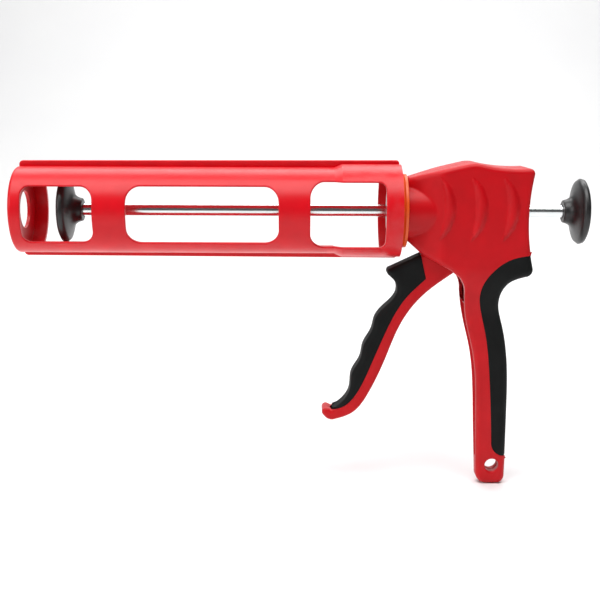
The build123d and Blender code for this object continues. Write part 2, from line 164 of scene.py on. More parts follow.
# %% [markdown]
# One big soft light hangs above and a little in front, so that the long cradle carries one broad, soft
# highlight along its upper side. A second one lights the backdrop. A weak third one stands at the
# front left, where it brings out the ribs, and the world gives a faint even glow that keeps the
# shadows open. Area lights are used because their size sets how soft they are.

# %% Lights
def softbox(name, place, target, size, power):
    """A square area light at place, facing target."""
    data = bpy.data.lights.new(name, "AREA")
    data.shape = "RECTANGLE"
    data.size, data.size_y = size
    data.energy = power
    light = bpy.data.objects.new(name, data)
    back = np.subtract(place, target)
    back = back / np.linalg.norm(back)
    right = np.cross((0, 1, 0.01), back)
    right = right / np.linalg.norm(right)
    axes = np.eye(4)
    axes[:3, :3] = np.array((right, np.cross(back, right), back)).T
    axes[:3, 3] = place
    light.matrix_world = Matrix(axes.tolist())
    bpy.context.scene.collection.objects.link(light)
    return light


middle = ((cad_low + cad_high) / 2)
softbox("overhead_softbox", (0.12, -0.40, 1.25), middle, (1.7, 1.0), 27.0)
softbox("back_softbox", (0.3, 1.3, 1.5), (0.2, 1.2, -0.18), (2.6, 1.2), 38.0)
softbox("side_softbox", (-1.1, -0.9, 0.55), middle, (0.7, 0.9), 7.0)
world = bpy.data.worlds.new("studio")
world.use_nodes = True
world.node_tree.nodes["Background"].inputs["Color"].default_value = (1.0, 1.0, 1.0, 1.0)
world.node_tree.nodes["Background"].inputs["Strength"].default_value = 0.10
bpy.context.scene.world = world

# %% [markdown]
# Now the flat drawing. The body, the handle and the trigger are moulded parts whose outlines are
# seen from the side, so their outlines are the arcs and curves that the working model has too. Only
# the line where the trigger's skin ends follows the real one a little more closely. A curve through
# points is a natural cubic spline: each stretch is a cubic, and slope and curvature agree where two
# stretches meet. That is one small linear system, which numpy solves.

# %% Drawing outlines
STEP = 1.0


def evenly(points, step=STEP):
    """Points at an even spacing of about step along a dense run of points."""
    run = np.concatenate(([0], np.cumsum(np.linalg.norm(np.diff(points, axis=0), axis=1))))
    count = max(2, int(round(run[-1] / step)) + 1)
    at = np.linspace(0, run[-1], count)
    return np.column_stack([np.interp(at, run, points[:, k]) for k in range(points.shape[1])])


def line(*corners):
    """Straight runs between corners, each divided evenly."""
    return np.concatenate([evenly(np.array(pair, float)) for pair in zip(corners, corners[1:])])


def arc(start, through, end):
    """The circle's arc through three points: its centre is where the two chords' bisectors cross."""
    a, b, c = (np.array(p, float) for p in (start, through, end))
    sides = 2 * np.array((b - a, c - b))
    centre = np.linalg.solve(sides, (b @ b - a @ a, c @ c - b @ b))
    angle = [math.atan2(*(p - centre)[::-1]) for p in (a, b, c)]
    turn = (angle[2] - angle[0]) % (2 * math.pi)
    if (angle[1] - angle[0]) % (2 * math.pi) > turn:
        turn -= 2 * math.pi
    sweep_angle = angle[0] + np.linspace(0, turn, 60)
    radius = np.linalg.norm(a - centre)
    return evenly(centre + radius * np.column_stack((np.cos(sweep_angle), np.sin(sweep_angle))))


def spline(*knots):
    """A natural cubic through knots, with the length of each chord as its parameter."""
    p = np.array(knots, float)
    h = np.linalg.norm(np.diff(p, axis=0), axis=1)
    t = np.concatenate(([0], np.cumsum(h)))
    system, right = np.eye(len(p)), np.zeros_like(p)
    for i in range(1, len(p) - 1):
        system[i, i - 1 : i + 2] = h[i - 1], 2 * (h[i - 1] + h[i]), h[i]
        right[i] = 6 * ((p[i + 1] - p[i]) / h[i] - (p[i] - p[i - 1]) / h[i - 1])
    bend = np.linalg.solve(system, right)
    at = np.linspace(0, t[-1], 40 * len(p))
    k = np.clip(np.searchsorted(t, at, side="right") - 1, 0, len(h) - 1)
    a, b, w = (t[k + 1] - at)[:, None], (at - t[k])[:, None], h[k][:, None]
    dense = (bend[k] * a**3 + bend[k + 1] * b**3) / (6 * w)
    dense += (p[k] / w - bend[k] * w / 6) * a + (p[k + 1] / w - bend[k + 1] * w / 6) * b
    return evenly(dense)


def loop(*runs):
    """One closed run of points from several, without the repeated ends."""
    points = np.concatenate(runs)
    gap = np.linalg.norm(points - np.roll(points, 1, axis=0), axis=1)
    return points[gap > 0.02]


# %% [markdown]
# The body is one closed outline: it rises from the swivel to a soft peak, dips along the top, turns
# down the back, and runs on as the handle to a rounded foot. Two black skins are moulded over it. Each
# skin's edge is a line across the side, so a part's surface stops at that line and the skin's starts.

# %% Outlines of body, handle grip and trigger
NOSE_X = 246.0
GRIP_TOP, GRIP_FOOT = (324.3, -26.3), (315.7, -164.0)

top_edge = loop(
    arc((NOSE_X, 21.8), (264.5, 26.8), (281.8, 30.9)),
    arc((281.8, 30.9), (286.6, 31.5), (291.0, 30.8)),
    arc((291.0, 30.8), (306.0, 28.5), (320.9, 28.3)),
    arc((320.9, 28.3), (323.6, 27.2), (324.4, 24.4)),
)
back_edge = arc((324.4, 24.4), (321.9, 0.0), (325.9, -34.8))
handle_back = loop(
    back_edge[back_edge[:, 1] < GRIP_TOP[1]],
    arc((325.9, -34.8), (325.0, -39.0), (321.5, -40.8)),
    spline((321.5, -40.8), (311.2, -45.3), (306.2, -56.0), (308.9, -72.0), (313.2, -94.0),
           (314.9, -123.0), GRIP_FOOT),
)
foot_edge = loop(
    line(GRIP_FOOT, (315.6, -178.5)),
    arc((315.6, -178.5), (313.9, -182.1), (310.4, -183.5)),
    line((310.4, -183.5), (302.6, -183.5)),
    arc((302.6, -183.5), (298.3, -181.3), (296.3, -177.0)),
)
front_edge = loop(
    spline((296.3, -177.0), (294.4, -132.0), (290.5, -91.0), (284.6, -66.0), (283.2, -53.0)),
    arc((283.2, -53.0), (282.3, -46.2), (279.3, -41.3)),
    line((279.3, -41.3), (273.7, -36.6), (255.8, -27.1), (NOSE_X, -18.6)),
)
nose_face = line((NOSE_X, -18.6), (NOSE_X, 21.8))
handle_skin_line = loop(
    spline(GRIP_TOP, (316.3, -27.6), (308.3, -30.6), (300.4, -36.8), (294.9, -44.6), (292.9, -54.5),
           (294.4, -63.9), (298.3, -80.0), (301.3, -100.5), (303.3, -122.5), (305.5, -153.1)),
    arc((305.5, -153.1), (308.2, -160.9), GRIP_FOOT),
)
shell_loop = loop(top_edge, back_edge[back_edge[:, 1] >= GRIP_TOP[1]], handle_skin_line, foot_edge,
                  front_edge, nose_face)
handle_grip_loop = loop(handle_back, handle_skin_line[::-1])
print("points round the shell:", len(shell_loop), "and round the handle's grip:", len(handle_grip_loop))

# %% [markdown]
# A moulded half has a flat-ish side, a rounded edge all round, and a wall that drops to the parting
# plane. To mesh it, points are laid in rings along the outline, close together where the edge turns,
# and on an even triangular grid inside; a Delaunay triangulation joins them. Then every point is
# lifted to its height, which a formula gives. This keeps any outline possible, as no grid could.

# %% Distances and meshing
def distance_to(points, run, closed=True):
    """Each point's distance to the nearest straight piece of a run."""
    a = run if closed else run[:-1]
    b = np.roll(run, -1, axis=0) if closed else run[1:]
    nearest = np.full(len(points), np.inf)
    for i in range(0, len(points), 4000):
        p = points[i : i + 4000, None, :]
        edge = (b - a)[None]
        share = ((p - a[None]) * edge).sum(-1) / np.maximum((edge**2).sum(-1), 1e-12)
        foot = a[None] + np.clip(share, 0, 1)[..., None] * edge
        nearest[i : i + 4000] = np.linalg.norm(p - foot, axis=-1).min(1)
    return nearest


def inside(points, ring):
    """True where a point lies inside a closed ring: a ray to the right crosses it an odd number of
    times."""
    a, b = ring, np.roll(ring, -1, axis=0)
    x, z = points[:, None, 0], points[:, None, 1]
    crosses = (a[None, :, 1] > z) != (b[None, :, 1] > z)
    rise = np.where(b[:, 1] == a[:, 1], 1e-12, b[:, 1] - a[:, 1])
    meet = a[None, :, 0] + (z - a[None, :, 1]) * ((b - a)[None, :, 0] / rise[None])
    return (crosses & (x < meet)).sum(1) % 2 == 1


def inward(ring):
    """The unit normal at each point of a closed ring, towards its inside."""
    along = np.roll(ring, -1, axis=0) - np.roll(ring, 1, axis=0)
    normal = np.column_stack((-along[:, 1], along[:, 0]))
    normal /= np.maximum(np.linalg.norm(normal, axis=1), 1e-9)[:, None]
    tested = ring + 0.05 * normal
    return normal if inside(tested, ring).mean() > 0.5 else -normal


def thin(points, keep_off, gap):
    """Drops points that come nearer than gap to any point of keep_off."""
    if len(keep_off) == 0 or len(points) == 0:
        return points
    near = np.full(len(points), np.inf)
    for i in range(0, len(points), 2000):
        block = points[i : i + 2000, None] - keep_off[None]
        near[i : i + 2000] = np.sqrt((block**2).sum(-1)).min(1)
    return points[near > gap]


def side_mesh(ring, hole=None, insets=(), features=(), step=STEP):
    """Flat triangles over the inside of ring, less hole. Insets lay extra rings of points that far in
    from the edges, features are runs of points that the mesh must pass through, and a triangular grid
    of spacing step fills the rest. The first points returned are the ring's, then the hole's."""
    edges = [ring] if hole is None else [ring, hole]
    fixed = np.concatenate(edges)
    extra = []
    for curve, sign in zip(edges, (1, -1)):
        normal = inward(curve) * sign
        for inset in insets:
            moved = curve + inset * normal
            extra.append(moved[distance_to(moved, curve) > 0.93 * inset])
    extra = [e[inside(e, ring)] for e in extra]
    if hole is not None:
        extra = [e[~inside(e, hole)] for e in extra]
    lines = np.concatenate([*extra, *features]) if extra or features else np.zeros((0, 2))
    lines = lines[distance_to(lines, ring) > 0.12] if len(lines) else lines
    low, high = ring.min(0), ring.max(0)
    rise = step * math.sqrt(3) / 2
    column, row = np.meshgrid(np.arange(low[0], high[0], step), np.arange(low[1], high[1], rise))
    column = column + (np.arange(column.shape[0]) % 2)[:, None] * step / 2
    grid = np.column_stack((column.ravel(), row.ravel()))
    grid = grid[inside(grid, ring)]
    if hole is not None:
        grid = grid[~inside(grid, hole)]
    grid = thin(grid, np.concatenate((fixed, lines)), 0.55 * step)
    points = np.concatenate((fixed, lines, grid))
    borders, start = [], 0
    for curve in edges:
        index = start + np.arange(len(curve))
        borders += list(zip(index, np.roll(index, -1)))
        start += len(curve)
    corners = [tuple(p) for p in points]
    rims = [tuple(map(int, e)) for e in borders]
    out, _, faces, origin, _, _ = delaunay_2d_cdt(corners, rims, [], 1, 1e-6)
    out = np.array([tuple(p) for p in out])
    order = np.full(len(points), -1)
    for new, olds in enumerate(origin):
        order[list(olds)] = new
    faces = np.array(faces)
    middle_of = out[faces].mean(1)
    keep = inside(middle_of, ring)
    if hole is not None:
        keep &= ~inside(middle_of, hole)
    return out, faces[keep], [order[: len(ring)], order[len(ring) : len(fixed)]]


def rounded(distance, radius):
    """How far a quarter-round edge of that radius has dropped at a distance in from the outline."""
    share = 1 - np.clip(distance / radius, 0, 1)
    return radius * (1 - np.sqrt(1 - share**2))


def edge_insets(radius, count=5):
    """Ring distances that divide a quarter-round edge into equal turns."""
    turn = np.linspace(0, math.pi / 2, count + 1)[1:]
    return tuple(radius * (1 - np.cos(turn)))


# %% [markdown]
# A half shell is that lifted mesh plus its wall. The wall follows the outline down in rows; each row
# has its own inset and height, so one list of rows can make a straight wall, a groove or a chamfer at
# the parting line. Solidify then gives it the wall thickness of the moulding, on the inside.

# %% Lifting a side and hanging its wall
def lifted(ring, height, walls, hole=None, hole_walls=None, insets=(), features=(), step=STEP):
    """Points (x, y, z) in metres and faces of one half. height(points) gives y over the side, and walls
    are rows of (inset, y) at the outline, each a number or an array with one value for each point of it.
    The half is made on the +Y side, with its faces outwards."""
    flat, faces, borders = side_mesh(ring, hole, insets, features, step)
    y = height(flat)
    points = [np.column_stack((flat[:, 0], y, flat[:, 1]))]
    a, b, c = flat[faces[:, 0]], flat[faces[:, 1]], flat[faces[:, 2]]
    area = (b - a)[:, 0] * (c - a)[:, 1] - (b - a)[:, 1] * (c - a)[:, 0]
    faces = np.where((area > 0)[:, None], faces[:, ::-1], faces)
    polygons = [tuple(f) for f in faces]
    start = len(flat)
    for curve, order, rows, sign in ((ring, borders[0], walls, 1), (hole, borders[1], hole_walls, -1)):
        if curve is None or rows is None:
            continue
        normal = inward(curve) * sign
        previous = order
        ahead = np.roll(curve, -1, axis=0)
        turning = np.sum(curve[:, 0] * ahead[:, 1] - ahead[:, 0] * curve[:, 1])
        for inset, level in rows:
            inset = np.broadcast_to(inset, len(curve))
            moved = curve + inset[:, None] * normal
            level = np.minimum(np.broadcast_to(level, len(curve)), y[order])
            points.append(np.column_stack((moved[:, 0], level, moved[:, 1])))
            here = start + np.arange(len(curve))
            quads = np.column_stack((previous, np.roll(previous, -1), np.roll(here, -1), here))
            flip = (turning > 0) != (sign > 0)
            polygons += [tuple(q) for q in (quads if not flip else quads[:, ::-1])]
            previous = here
            start += len(curve)
    return np.concatenate(points) * MM, polygons


def near_side(points, polygons):
    """The mirror image of a half across the parting plane, with its faces turned to stay outwards."""
    return points * (1, -1, 1), [tuple(reversed(p)) for p in polygons]


def smooth_max(a, b, blend):
    """The larger of a and b, with the crease between them rounded over about blend."""
    share = np.clip(0.5 + 0.5 * (a - b) / blend, 0, 1)
    return b * (1 - share) + a * share + blend * share * (1 - share)


def with_wall(piece, thickness):
    """Gives an open surface a wall on its inside."""
    solid = piece.modifiers.new("wall", "SOLIDIFY")
    solid.thickness = thickness
    solid.offset = -1.0
    solid.use_rim = True
    return piece


# %% [markdown]
# The body's side is full at the back and narrows to the swivel, and it thins down the handle. A round
# boss, which holds the neck tube, stands out of the narrow nose and sinks into the flare behind it as
# a dome. Three crescent ribs stiffen the side: each is the space between two arcs, with a curved ridge.

# %% The height of the body's side
SIDE_Y, NOSE_Y, FLARE, FLARE_BEND = 18.2, 8.6, 24.0, 6.0
BOSS_R, BOSS_FALL, EDGE_R = 18.0, 0.15, 2.9
HEIGHTS = np.array(((-190, 5.75), (-172, 5.75), (-120, 9.5), (-66, 11.0), (-40, SIDE_Y), (40, SIDE_Y)))
RIB_X = (264.8, 284.9, 304.9)
RIB_TOP, RIB_FOOT, RIB_BULGE, RIB_WIDTH, RIB_RISE = 22.7, -17.2, 10.4, 7.6, 2.0
HANG_X, HANG_Z, HANG_R = 306.7, -170.6, 4.6
SCREW_SPOTS = np.array(((259.5, 19.5), (290.0, 23.5), (316.4, 21.0), (306.0, -22.0), (292.0, -75.0),
                        (300.0, -145.0)))
SCREW_WELL_R, SCREW_WELL, WELL_EDGE = 3.35, 3.6, 0.25
HOLE_EDGE_R = 0.9
BOSS_REACH, PLATE_BLEND = 26.0, 0.5


def side_width(points):
    """Half the body's width: a straight flare from the nose, bent softly into the flat side, and no
    more than the taper down the handle allows."""
    slope = (SIDE_Y - NOSE_Y) / (FLARE - FLARE_BEND / 2)
    short = np.clip(FLARE - (points[:, 0] - NOSE_X), 0, None)
    bend = np.where(short < FLARE_BEND, short**2 / (2 * FLARE_BEND), short - FLARE_BEND / 2)
    flare = SIDE_Y - slope * bend
    reach = np.linspace(-5, 5, 11)
    taper = np.mean([np.interp(points[:, 1] + r, HEIGHTS[:, 0], HEIGHTS[:, 1]) for r in reach], axis=0)
    return np.minimum(flare, taper)


def rib_edge(x, bulge):
    """The x of an arc from the rib's top to its foot, at any height; the arc bulges to the rear."""
    half = (RIB_TOP - RIB_FOOT) / 2
    radius = (half**2 + bulge**2) / (2 * bulge)
    middle_z = (RIB_TOP + RIB_FOOT) / 2

    def at(z):
        return x + bulge - radius + np.sqrt(np.maximum(radius**2 - (z - middle_z) ** 2, 0))

    return at


def ribs(points):
    """Ridge height: zero at a rib's two arcs and curved like a flat parabola between them."""
    x, z = points[:, 0], points[:, 1]
    rise = np.zeros(len(points))
    for rib_x in RIB_X:
        rear, front = rib_edge(rib_x, RIB_BULGE)(z), rib_edge(rib_x, RIB_BULGE - RIB_WIDTH)(z)
        width = np.maximum(rear - front, 0.3)
        across = np.clip((x - front) / width, 0, 1)
        taper = np.clip(width / RIB_WIDTH, 0, 1) ** 0.6
        within = (z < RIB_TOP) & (z > RIB_FOOT)
        rise += np.where(within, RIB_RISE * taper * 4 * across * (1 - across), 0)
    return rise


def rib_lines():
    """Points along both arcs of every rib, so that the mesh has an edge where a ridge starts."""
    z = np.linspace(RIB_FOOT, RIB_TOP, 52)
    runs = []
    for rib_x in RIB_X:
        for bulge in (RIB_BULGE, RIB_BULGE - RIB_WIDTH / 2, RIB_BULGE - RIB_WIDTH):
            runs.append(np.column_stack((rib_edge(rib_x, bulge)(z), z)))
    return runs


def circle(x, z, radius, count):
    """Points round a circle."""
    turn = np.arange(count) * 2 * math.pi / count
    return np.column_stack((x + radius * np.cos(turn), z + radius * np.sin(turn)))


hang_hole = circle(HANG_X, HANG_Z, HANG_R, 48)
soft_edges = loop(top_edge, back_edge, handle_back, foot_edge, front_edge)


def body_height(points):
    """The side's width, less the rounded edges, with the boss rising out of the nose, and the ribs."""
    edge = distance_to(points, soft_edges, closed=False)
    plate = side_width(points) - rounded(edge, EDGE_R) + ribs(points)
    plate = plate - rounded(distance_to(points, hang_hole), HOLE_EDGE_R)
    back = np.maximum(points[:, 0] - NOSE_X, 0)
    dome = np.sqrt(np.maximum(BOSS_R**2 - points[:, 1] ** 2 - BOSS_FALL * back**2, 0.0))
    dome = np.where(back < BOSS_REACH, dome, 0)
    return smooth_max(plate, dome, PLATE_BLEND)


def far_body_height(points):
    """The far side has a round well over each screw, deeper than the screw's head."""
    depth = np.linalg.norm(points[:, None] - SCREW_SPOTS[None], axis=2).min(1)
    well = np.clip((SCREW_WELL_R + WELL_EDGE - depth) / WELL_EDGE, 0, 1)
    return body_height(points) - SCREW_WELL * well


# %% [markdown]
# The wall of a shell ends at the parting plane, and there a fine chamfer leaves the thin line that
# shows where two mouldings meet. It is cut back where the neck tube and the rod pass, and along the
# slot that the trigger swings in. Down the front of the handle it steps in, as a shallow channel.

# %% The two shells
SLOT_Y, ROD_HOLE_R, NECK_HOLE_R = 10.0, 4.6, 10.1
SHELL_T, SKIN_REBATE = 2.0, 2.4
CHANNEL_DEPTH, CHANNEL_TOP, CHANNEL_FOOT = 1.8, -60.0, -164.0


def shell_walls(ring):
    """Rows of the wall, from the rounded edge to the parting plane, with its openings and the channel."""
    x, z = ring[:, 0], ring[:, 1]
    end = np.zeros(len(ring))
    at_nose = x < NOSE_X + 0.01
    end = np.where(at_nose, np.sqrt(np.maximum(NECK_HOLE_R**2 - z**2, 0)), end)
    at_back = (x > 319) & (np.abs(z) < 20)
    end = np.where(at_back, np.sqrt(np.maximum(ROD_HOLE_R**2 - z**2, 0)), end)
    at_slot = (z < -26.5) & (z > -58) & (x < 284.2)
    end = np.where(at_slot, SLOT_Y, end)
    on_skin = distance_to(ring, handle_skin_line, closed=False) < 0.05
    end = np.where(on_skin, side_width(ring) - SKIN_REBATE, end)
    half = side_width(ring)
    front = (x < 297) & (z < CHANNEL_TOP + 2) & (z > CHANNEL_FOOT - 2)
    fade = np.clip((CHANNEL_TOP - z) / 2 + 0.5, 0, 1) * np.clip((z - CHANNEL_FOOT) / 2 + 0.5, 0, 1)
    step_in = np.where(front, fade, 0) * CHANNEL_DEPTH
    lip = np.where(front, half - EDGE_R - 0.6, end + 0.45)
    return [
        (0.0, np.maximum(end + 0.45, half - EDGE_R)),
        (0.0, np.maximum(end + 0.4, lip)),
        (step_in, np.maximum(end + 0.35, lip - 0.2)),
        (step_in, end + 0.25),
        (step_in + 0.3, end),
    ]


hole_rows = [(0.0, 4.0), (0.0, 0.3), (0.25, 0.0)]
wells = [circle(x, z, r, 40) for x, z in SCREW_SPOTS for r in (SCREW_WELL_R, SCREW_WELL_R + WELL_EDGE)]
insets = edge_insets(EDGE_R)
walls = shell_walls(shell_loop)
near_points, near_faces = near_side(*lifted(
    shell_loop, body_height, walls, hang_hole, hole_rows, insets, rib_lines()))
far_points, far_faces = lifted(
    shell_loop, far_body_height, walls, hang_hole, hole_rows, insets, rib_lines() + wells)
near_shell = with_wall(mesh_piece("near_shell", near_points, near_faces), SHELL_T * MM)
far_shell = with_wall(mesh_piece("far_shell", far_points, far_faces), SHELL_T * MM)
print("near shell:", len(near_points), "points,", len(near_faces), "faces")

# %% [markdown]
# The handle's soft skin wraps round the back of both shells as one piece, so it has no parting line.
# It is moulded over the shells, stands a hair proud, and its rim is rounded down into the joint.

# %% The handle's grip
SKIN_PROUD, SKIN_RIM, SKIN_T = 0.2, 0.6, 1.2
GRIP_EDGE_R = EDGE_R + 1.6
GRIP_TUCK = 1.6
RIM_INSETS = (0.15, 0.35)


def skin_height(points):
    """The body's own width with a fuller rounding at the back, and a small one where the skin ends."""
    edge = distance_to(points, handle_back, closed=False)
    rim = distance_to(points, handle_skin_line, closed=False)
    return side_width(points) + SKIN_PROUD - rounded(edge, GRIP_EDGE_R) - rounded(rim, SKIN_RIM)


def both_sides(points, polygons):
    """A half and its mirror image, sharing the points that lie on the parting plane."""
    mirror_points, mirror_faces = near_side(points, polygons)
    shift = len(points)
    on_plane = np.abs(points[:, 1]) < 1e-7
    index = np.where(on_plane, np.arange(shift), np.arange(shift) + shift)
    faces = list(polygons) + [tuple(index[list(f)]) for f in mirror_faces]
    used = np.unique(np.concatenate([np.array(f) for f in faces]))
    renumber = np.zeros(2 * shift, int)
    renumber[used] = np.arange(len(used))
    everything = np.concatenate((points, mirror_points))
    return everything[used], [tuple(renumber[list(f)]) for f in faces]


def skin_walls(ring, skin_run, half, depth, rows=4):
    """Round the back the wall goes down to the plane; at the skin's rim it only dips into the joint."""
    on_skin = distance_to(ring, skin_run, closed=False) < 0.05
    levels = []
    for k in range(1, rows + 1):
        share = k / rows
        levels.append((0.0, np.where(on_skin, half - depth * share, half * (1 - share))))
    return levels


half = skin_height(handle_grip_loop)
grip_points, grip_faces = lifted(
    handle_grip_loop, skin_height, skin_walls(handle_grip_loop, handle_skin_line, half, GRIP_TUCK),
    insets=edge_insets(GRIP_EDGE_R, 6) + RIM_INSETS)
handle_skin = with_wall(mesh_piece("handle_skin", *both_sides(grip_points, grip_faces)), SKIN_T * MM)
print("handle skin:", len(handle_skin.data.vertices), "points")

# %% [markdown]
# The trigger is a slim lever with a curved back and a pointed foot. Its soft skin covers the front,
# where four waves take the fingers. The two share one line across the side, like body and handle.

# %% The trigger's outlines
TRIGGER_Y, TRIGGER_EDGE, FINGER_EDGE = 8.0, 1.7, 3.4
LEVER_TUCK, LEVER_WALL = 2.4, 1.8
SKIN_START, SKIN_END = (255.3, -27.6), (198.6, -131.95)
lever_top = line((262.0, -24.5), SKIN_START)
skin_front = loop(
    line(SKIN_START, (236.2, -36.6)),
    arc((236.2, -36.6), (234.0, -38.4), (234.4, -40.9)),
    spline((234.4, -40.9), (240.0, -47.5), (240.2, -52.5), (233.4, -61.5), (226.4, -70.5), (224.6, -77.8),
           (219.0, -88.5), (217.2, -97.0), (211.6, -107.5), (210.3, -118.5), (205.6, -126.5), SKIN_END),
)
lever_foot = loop(
    line(SKIN_END, (196.4, -130.9)),
    arc((196.4, -130.9), (192.4, -132.4), (193.4, -135.4)),
    arc((193.4, -135.4), (196.0, -137.8), (199.4, -138.6)),
)
lever_back = loop(
    spline((199.4, -138.6), (212.6, -133.6), (223.1, -120.0), (234.0, -95.9), (243.2, -73.4),
           (256.6, -55.0), (275.8, -40.0)),
    line((275.8, -40.0), (284.0, -33.0), (272.0, -18.0), (262.0, -24.5)),
)
lever_skin_line = loop(
    line(SKIN_START, (258.9, -43.2)),
    spline((258.9, -43.2), (253.0, -48.8), (248.2, -53.6), (243.4, -59.8), (237.0, -71.0), (230.6, -85.5),
           (224.8, -99.5), (218.4, -114.3), (212.4, -124.0), (207.2, -128.9), SKIN_END),
)
lever_loop = loop(lever_top, lever_skin_line, lever_foot, lever_back)
finger_loop = loop(skin_front, lever_skin_line[::-1])


# %% The trigger's lever and finger skin
def lever_height(points):
    """A flat side with a small rounding along the lever's own edges."""
    own = [distance_to(points, run, closed=False) for run in (lever_top, lever_foot, lever_back)]
    return TRIGGER_Y - rounded(np.min(own, axis=0), TRIGGER_EDGE)


def finger_height(points):
    """Slightly crowned, with a full rounding over the finger waves and a fine one at the skin's rim."""
    front = distance_to(points, skin_front, closed=False)
    rim = distance_to(points, lever_skin_line, closed=False)
    return TRIGGER_Y + SKIN_PROUD - rounded(front, FINGER_EDGE) - rounded(rim, SKIN_RIM)


lever_half = lever_height(lever_loop)
lever_points, lever_faces = lifted(
    lever_loop, lever_height, skin_walls(lever_loop, lever_skin_line, lever_half, LEVER_TUCK),
    insets=edge_insets(TRIGGER_EDGE, 4))
lever = with_wall(mesh_piece("lever", *both_sides(lever_points, lever_faces)), LEVER_WALL * MM)
finger_half = finger_height(finger_loop)
finger_points, finger_faces = lifted(
    finger_loop, finger_height, skin_walls(finger_loop, lever_skin_line, finger_half, GRIP_TUCK),
    insets=edge_insets(FINGER_EDGE, 6) + RIM_INSETS)
finger_skin = with_wall(mesh_piece("finger_skin", *both_sides(finger_points, finger_faces)), SKIN_T * MM)
print("lever:", len(lever.data.vertices), "points; finger skin:", len(finger_skin.data.vertices))

# %% [markdown]
# Turned and round parts are lathe work: one profile of (distance along the axis, radius) carried round
# the axis. A closed profile gives a ring with a bore and needs no caps. Small steps in the profile are
# the rounded edges that catch a thin line of light on the real parts.

# %% Lathe work
def turned(name, profile, centre, axis, segments=96):
    """Each profile point (t, r) goes to centre + t along the axis + r round it; both ways are closed."""
    profile = np.array(profile, float)
    turn = np.arange(segments) * 2 * math.pi / segments
    along, radius = profile[:, 0][:, None], profile[:, 1][:, None]
    round_a, round_b = radius * np.cos(turn), radius * np.sin(turn)
    along = np.broadcast_to(along, round_a.shape)
    order = {"X": (along, round_a, round_b), "Y": (round_b, along, round_a)}[axis]
    points = np.stack(order, axis=-1).reshape(-1, 3) + centre
    faces = quad_strip(len(profile) + 1, segments, True) % len(points)
    t, r = profile[:, 0], profile[:, 1]
    turning = np.sum(t * np.roll(r, -1) - np.roll(t, -1) * r)
    return mesh_piece(name, points * MM, faces if turning < 0 else faces[:, ::-1])


def disc_profile(toward):
    """The funnel disc, from face to hub: a screw well, a rounded rim, a hollow flare and a hub."""
    rim = loop(arc((0, 18.8), (0.9, 20.5), (2.8, 21.0)), arc((2.8, 21.0), (4.2, 20.1), (5.2, 17.6)))[::2]
    flare = spline((5.2, 17.6), (5.55, 16.6), (6.4, 13.6), (8.2, 9.8), (10.6, 8.0), (12.9, 7.3))
    points = np.concatenate((
        [(4.5, 2.0), (2.2, 2.0), (2.2, 6.5), (2.05, 6.85), (1.7, 7.0), (0.4, 7.0), (0.12, 7.12)],
        [(0.0, 7.4)],
        [(0.0, 8.4), (0.35, 8.7), (0.35, 15.6), (0.0, 15.9)],
        rim, flare[1:],
        [(13.3, 7.05), (13.5, 6.6), (13.5, 4.6), (13.2, 4.2), (12.6, 4.0), (4.5, 4.0)]))
    return points * (toward, 1)


PLUNGER_FACE, THUMB_FACE = 24.0, 360.0
plunger = turned("plunger_funnel", disc_profile(1), (PLUNGER_FACE, 0, 0), "X")
thumb = turned("thumb_funnel", disc_profile(-1), (THUMB_FACE, 0, 0), "X")
collar = turned("swivel_collar", [
    (241.7, 10.2), (241.7, 22.6), (241.85, 22.95), (242.2, 23.1), (243.0, 23.1), (243.15, 23.25),
    (243.3, 23.5), (243.6, 23.68), (244.0, 23.7), (244.9, 23.7), (245.25, 23.55), (245.4, 23.2),
    (245.4, 10.2)], (0, 0, 0), "X")
PIVOT = (278.0, 0.0, -22.0)
hub = turned("lever_hub", [
    (-9.3, 3.4), (-9.3, 7.4), (-9.1, 7.85), (-8.7, 8.0), (8.7, 8.0), (9.1, 7.85), (9.3, 7.4), (9.3, 3.4),
    (8.95, 3.1), (-8.95, 3.1)], PIVOT, "Y", 64)
print("disc profile points:", len(disc_profile(1)))

# %% [markdown]
# Behind the grip the trigger ends in a fork, whose two cheeks reach up past the rod and carry the
# rollers that push the drive plates. A cheek is a flat plate with eased edges: the same rows as a
# wall, closed by a flat cap on each side.

# %% Fork cheeks
def plate(name, ring, y0, y1, ease):
    """An outline made solid between y0 and y1, with its edges eased; one n-sided cap at each end."""
    normal = inward(ring)
    rows = ((ease, y0), (0.0, y0 + ease), (0.0, y1 - ease), (ease, y1))
    points = []
    for inset, y in rows:
        moved = ring + inset * normal
        points.append(np.column_stack((moved[:, 0], np.full(len(ring), y), moved[:, 1])))
    count = len(ring)
    faces = [tuple(f) for f in quad_strip(len(rows), count, True)]
    faces += [tuple(range(count))[::-1], tuple(range(3 * count, 4 * count))]
    turning = np.sum(ring[:, 0] * np.roll(ring[:, 1], -1) - np.roll(ring[:, 0], -1) * ring[:, 1])
    if turning > 0:
        faces = [f[::-1] for f in faces]
    return mesh_piece(name, np.concatenate(points) * MM, faces, smooth=False)


ROLLER_X, FORK_TIP_R, FORK_Y = 272.3, 2.9, (6.35, 9.25)
cheek_ring = loop(
    arc((ROLLER_X - FORK_TIP_R, 0), (ROLLER_X, FORK_TIP_R), (ROLLER_X + FORK_TIP_R, 0)),
    line((ROLLER_X + FORK_TIP_R, 0), (PIVOT[0] + 6.6, PIVOT[2]), (PIVOT[0] - 6.6, PIVOT[2]),
         (ROLLER_X - FORK_TIP_R, 0)))
cheeks = [plate("fork_cheek_far", cheek_ring, *FORK_Y, 0.35),
          plate("fork_cheek_near", cheek_ring, -FORK_Y[1], -FORK_Y[0], 0.35)]

# %% [markdown]
# The return spring is wire wound round the rod. Its line is a helix whose first and last turns lie
# flat, as a spring maker closes them; a small circle carried along that line makes the wire.

# %% Return spring
SPRING_R, WIRE_R, SPRING_TURNS, SPRING_SPAN = 6.6, 0.65, 8.0, (236.0, 263.5)


